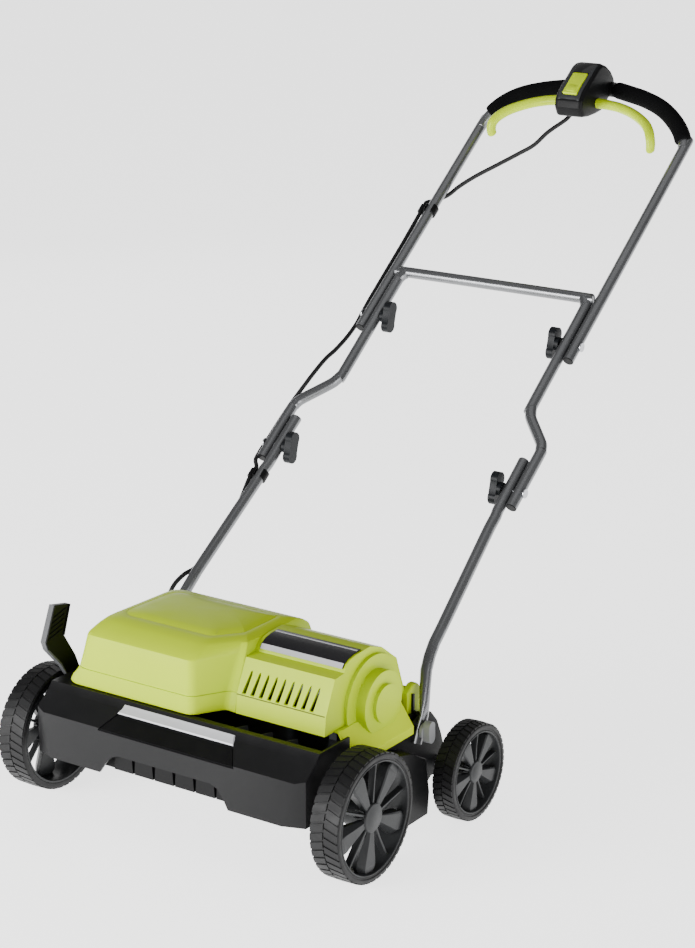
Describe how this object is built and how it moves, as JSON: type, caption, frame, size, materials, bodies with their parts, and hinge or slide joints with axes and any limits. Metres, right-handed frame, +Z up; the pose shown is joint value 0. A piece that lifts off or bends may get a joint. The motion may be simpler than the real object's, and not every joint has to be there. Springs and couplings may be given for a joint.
{
  "type": "lawn dethatcher",
  "caption": "Electric lawn dethatcher with a spring-tine reel under a moulded deck, a belt drive, four wheels, a depth lever and a folding tube handle.",
  "frame": {"origin": "on the ground at the centre of the footprint, from the front of the front wheels to the back of the grips", "axes": "+Y runs from the front wheels to the grips, +Z up, +X towards the belt side, which is on the user's left when standing behind the grips"},
  "size_m": [0.668, 1.3068, 1.0454],
  "materials": {
    "deck_plastic": "satin",
    "trim_plastic": "matte",
    "hood_plastic": "satin",
    "panel_plastic": "satin",
    "flap_plastic": "satin",
    "badge_silver": "satin",
    "label": "satin",
    "motor_steel": "satin",
    "bright_steel": "satin",
    "copper_winding": "satin",
    "belt_rubber": "matte",
    "tyre_rubber": "matte",
    "rim_plastic": "satin",
    "tube_paint": "satin",
    "knob_plastic": "satin",
    "pivot_knob_plastic": "satin",
    "grip_foam": "matte",
    "lead_rubber": "matte",
    "lever_plastic": "satin"
  },
  "bodies": {
    "deck": {"deck_shell": "deck_plastic", "side_pods": "trim_plastic", "front_grille": "trim_plastic", "badge_plate": "trim_plastic", "badge_strip": "badge_silver", "hood_left": "hood_plastic", "hood_right": "hood_plastic", "power_label": "label", "belt_cover": "hood_plastic", "side_panel": "panel_plastic", "hood_screws": "trim_plastic", "motor_can": "motor_steel", "shaft_bearings": "bright_steel", "terminal_box": "trim_plastic", "handle_brackets": "trim_plastic", "rear_axles": "bright_steel", "flap_pin": "bright_steel", "drive_belt": "belt_rubber", "cable_gland": "trim_plastic", "pivot_bolts": "bright_steel"},
    "front_axle": {"front_axle_crank": "bright_steel", "depth_lever": "trim_plastic"},
    "wheel_front_left": {"tyre_front_left": "tyre_rubber", "rim_front_left": "rim_plastic"},
    "wheel_front_right": {"tyre_front_right": "tyre_rubber", "rim_front_right": "rim_plastic"},
    "wheel_rear_left": {"tyre_rear_left": "tyre_rubber", "rim_rear_left": "rim_plastic"},
    "wheel_rear_right": {"tyre_rear_right": "tyre_rubber", "rim_rear_right": "rim_plastic"},
    "reel": {"reel_shaft": "bright_steel", "reel_discs": "motor_steel", "tine_bars": "bright_steel", "spring_tines": "bright_steel", "reel_pulley": "motor_steel"},
    "motor_rotor": {"armature": "copper_winding", "cooling_fan": "trim_plastic", "motor_pulley": "motor_steel"},
    "flap": {"rear_flap": "flap_plastic"},
    "lower_handle": {"lower_tubes": "tube_paint", "lead_clip_lower": "trim_plastic", "lead_lower": "lead_rubber"},
    "pivot_knob_left": {"pivot_knob_left": "pivot_knob_plastic"},
    "pivot_knob_right": {"pivot_knob_right": "pivot_knob_plastic"},
    "middle_handle": {"middle_frame": "tube_paint", "middle_bolts": "bright_steel", "lead_middle": "lead_rubber"},
    "fold_knob_left": {"fold_knob_left": "knob_plastic"},
    "fold_knob_right": {"fold_knob_right": "knob_plastic"},
    "upper_handle": {"upper_tube": "tube_paint", "upper_bolts": "bright_steel", "lead_clip_upper": "trim_plastic", "lead_upper": "lead_rubber", "foam_grips": "grip_foam", "switch_box": "trim_plastic"},
    "wing_knob_left": {"wing_knob_left": "knob_plastic"},
    "wing_knob_right": {"wing_knob_right": "knob_plastic"},
    "start_button": {"start_button": "lever_plastic"},
    "switch_lever_left": {"switch_lever_left": "lever_plastic"},
    "switch_lever_right": {"switch_lever_right": "lever_plastic"}
  },
  "joints": [
    {"name": "depth_crank", "type": "hinge", "parent": "deck", "child": "front_axle", "pos_m": [0, -0.50927, 0.112], "axis": [1, 0, 0], "range_deg": [-22, 0]},
    {"name": "wheel_front_left_spin", "type": "hinge", "parent": "front_axle", "child": "wheel_front_left", "pos_m": [-0.298, -0.55327, 0.1], "axis": [1, 0, 0], "continuous": true},
    {"name": "wheel_front_right_spin", "type": "hinge", "parent": "front_axle", "child": "wheel_front_right", "pos_m": [0.298, -0.55327, 0.1], "axis": [1, 0, 0], "continuous": true},
    {"name": "wheel_rear_left_spin", "type": "hinge", "parent": "deck", "child": "wheel_rear_left", "pos_m": [-0.315, -0.28427, 0.078], "axis": [1, 0, 0], "continuous": true},
    {"name": "wheel_rear_right_spin", "type": "hinge", "parent": "deck", "child": "wheel_rear_right", "pos_m": [0.315, -0.28427, 0.078], "axis": [1, 0, 0], "continuous": true},
    {"name": "reel_spin", "type": "hinge", "parent": "deck", "child": "reel", "pos_m": [0, -0.41827, 0.078], "axis": [1, 0, 0], "continuous": true},
    {"name": "motor_spin", "type": "hinge", "parent": "deck", "child": "motor_rotor", "pos_m": [0.14, -0.42327, 0.221], "axis": [1, 0, 0], "continuous": true},
    {"name": "rear_flap_lift", "type": "hinge", "parent": "deck", "child": "flap", "pos_m": [0, -0.31527, 0.198], "axis": [1, 0, 0], "range_deg": [0, 70]},
    {"name": "handle_pivot", "type": "hinge", "parent": "deck", "child": "lower_handle", "pos_m": [0, -0.34127, 0.152], "axis": [1, 0, 0], "range_deg": [0, 20], "deforming": ["lead_lower"]},
    {"name": "pivot_knob_left_turn", "type": "hinge", "parent": "deck", "child": "pivot_knob_left", "pos_m": [-0.275, -0.34127, 0.152], "axis": [1, 0, 0], "continuous": true},
    {"name": "pivot_knob_right_turn", "type": "hinge", "parent": "deck", "child": "pivot_knob_right", "pos_m": [0.275, -0.34127, 0.152], "axis": [1, 0, 0], "continuous": true},
    {"name": "middle_fold", "type": "hinge", "parent": "lower_handle", "child": "middle_handle", "pos_m": [0, -0.03127, 0.45], "axis": [1, 0, 0], "range_deg": [0, 145], "deforming": ["lead_middle"]},
    {"name": "fold_knob_left_turn", "type": "hinge", "parent": "middle_handle", "child": "fold_knob_left", "pos_m": [-0.207, -0.03127, 0.45], "axis": [1, 0, 0], "continuous": true},
    {"name": "fold_knob_right_turn", "type": "hinge", "parent": "middle_handle", "child": "fold_knob_right", "pos_m": [0.207, -0.03127, 0.45], "axis": [1, 0, 0], "continuous": true},
    {"name": "upper_fold", "type": "hinge", "parent": "middle_handle", "child": "upper_handle", "pos_m": [0, 0.20991, 0.63506], "axis": [1, 0, 0], "range_deg": [-165, 0], "deforming": ["lead_upper"]},
    {"name": "wing_knob_left_turn", "type": "hinge", "parent": "upper_handle", "child": "wing_knob_left", "pos_m": [-0.169, 0.20991, 0.63506], "axis": [1, 0, 0], "continuous": true},
    {"name": "wing_knob_right_turn", "type": "hinge", "parent": "upper_handle", "child": "wing_knob_right", "pos_m": [0.169, 0.20991, 0.63506], "axis": [1, 0, 0], "continuous": true},
    {"name": "start_button_press", "type": "slide", "parent": "upper_handle", "child": "start_button", "axis": [0, 0.6088, -0.7934], "range_m": [0, 0.003], "stiffness_N_per_m": 400, "springref_m": -0.003},
    {"name": "switch_lever_left_squeeze", "type": "hinge", "parent": "upper_handle", "child": "switch_lever_left", "pos_m": [-0.014, 0.58128, 0.98557], "axis": [0, 0.6088, -0.7934], "range_deg": [0, 9], "stiffness_Nm_per_rad": 2, "springref_deg": -17.19},
    {"name": "switch_lever_right_squeeze", "type": "hinge", "parent": "upper_handle", "child": "switch_lever_right", "pos_m": [0.014, 0.58128, 0.98557], "axis": [0, -0.6088, 0.7934], "range_deg": [0, 9], "stiffness_Nm_per_rad": 2, "springref_deg": -17.19}
  ],
  "couplings": [
    {"joint": "motor_spin", "follows": "reel_spin", "ratio": 2.8571}
  ]
}
